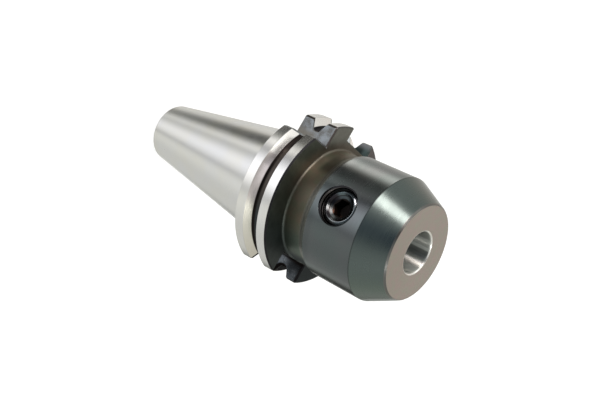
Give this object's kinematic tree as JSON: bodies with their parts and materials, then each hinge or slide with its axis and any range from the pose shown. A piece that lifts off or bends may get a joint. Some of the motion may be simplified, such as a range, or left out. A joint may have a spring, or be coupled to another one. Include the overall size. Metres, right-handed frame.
{
  "type": "side lock end mill holder",
  "caption": "Steep taper tool holder with a V flange, a cylindrical nose and a cutter bore clamped by a set screw in its side.",
  "frame": {"origin": "on the axis at the gauge plane of the taper, where its diameter is 44.45 mm", "axes": "+Z along the axis towards the nose; the side lock screw faces -Y; the deep drive slot is on the +X side"},
  "size_m": [0.0612, 0.0636, 0.1314],
  "materials": {
    "ground_steel": "taper, lands and bore ground bright; neck, nose and flange front blackened",
    "blackened_screw": "hardened and blackened"
  },
  "bodies": {
    "holder": {"holder_body": "ground_steel"},
    "lock_screw": {"side_lock_screw": "blackened_screw"}
  },
  "joints": [
    {"name": "lock_screw_travel", "type": "slide", "parent": "holder", "child": "lock_screw", "axis": [0, -1, 0], "range_m": [-0.0022, 0.0095]}
  ]
}
